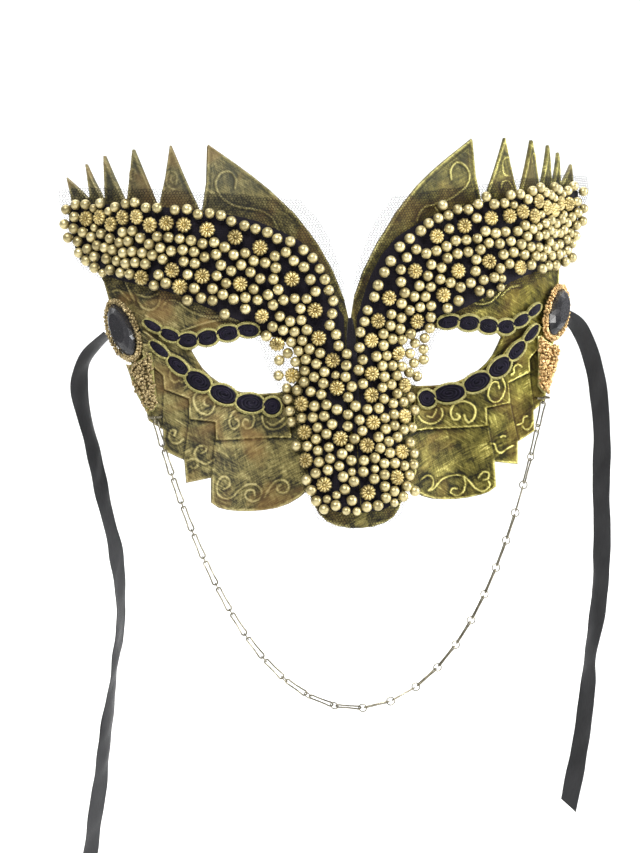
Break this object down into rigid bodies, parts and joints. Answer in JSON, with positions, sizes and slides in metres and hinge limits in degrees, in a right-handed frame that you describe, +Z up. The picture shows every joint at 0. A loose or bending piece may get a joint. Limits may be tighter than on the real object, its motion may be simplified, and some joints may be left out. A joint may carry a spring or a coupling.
{
  "type": "venetian masquerade mask",
  "caption": "Half mask with spiked brows, beaded wings and nose, braided eye rims, temple stones, a swag chain and tie ribbons.",
  "frame": {"origin": "inside of the nose bridge at eye height, where the moulding rests on the wearer's nose", "axes": "+Z up the forehead, -Y out of the front of the mask, +X to the wearer's left"},
  "size_m": [0.2021, 0.0549, 0.2577],
  "materials": {
    "antique_gold_plastic": "antiqued gold paint over black moulded plastic, brushed dull on the left cheek and burnished on the rims",
    "black_tulle": "open net",
    "black_cloth": "matt felt",
    "black_velvet": "velvet pile",
    "gold_round_bead": "satin pale gold",
    "gold_flower_bead": "satin pale gold",
    "pale_gold_seed": "bright textured",
    "sequin_braid": "wound black cord edged in gold thread",
    "black_stone": "faceted, polished",
    "pale_gold_chain": "pale plated wire",
    "black_satin": "satin ribbon"
  },
  "bodies": {
    "root": {"bead_cloth_left": "black_cloth", "bead_cloth_right": "black_cloth", "border_beads_left": "gold_round_bead", "border_beads_right": "gold_round_bead", "brow_beads_left": "gold_round_bead", "brow_beads_right": "gold_round_bead", "brow_flowers_left": "gold_flower_bead", "brow_flowers_right": "gold_flower_bead", "chain_staple_left": "pale_gold_chain", "chain_staple_right": "pale_gold_chain", "lower_braid_left": "sequin_braid", "lower_braid_right": "sequin_braid", "mask_shell": "antique_gold_plastic", "nose_beads_left": "gold_round_bead", "nose_beads_right": "gold_round_bead", "nose_flowers": "gold_flower_bead", "ribbon_patch_left": "black_cloth", "ribbon_patch_right": "black_cloth", "seed_fringe_left": "pale_gold_seed", "seed_fringe_right": "pale_gold_seed", "stone_border_beads_left": "pale_gold_seed", "stone_border_beads_right": "pale_gold_seed", "temple_stone_left": "black_stone", "temple_stone_right": "black_stone", "tulle_left": "black_tulle", "tulle_right": "black_tulle", "upper_braid_left": "sequin_braid", "upper_braid_right": "sequin_braid", "velvet_nose_ribbon": "black_velvet"},
    "chain": {"chain_links": "pale_gold_chain", "chain_rings": "pale_gold_chain"},
    "ribbon_left_tie": {"ribbon_left": "black_satin"},
    "ribbon_right_tie": {"ribbon_right": "black_satin"}
  },
  "joints": [
    {"name": "chain_swing", "type": "hinge", "parent": "root", "child": "chain", "pos_m": [0, -0.00087, -0.0206], "axis": [1, 0, 0], "range_deg": [-85, 4]},
    {"name": "ribbon_left_swing", "type": "hinge", "parent": "root", "child": "ribbon_left_tie", "pos_m": [-0.0844, 0.0184, 0.0078], "axis": [1, 0, 0], "range_deg": [-5, 95]},
    {"name": "ribbon_right_swing", "type": "hinge", "parent": "root", "child": "ribbon_right_tie", "pos_m": [0.0844, 0.0184, 0.0082], "axis": [1, 0, 0], "range_deg": [-5, 95]}
  ]
}
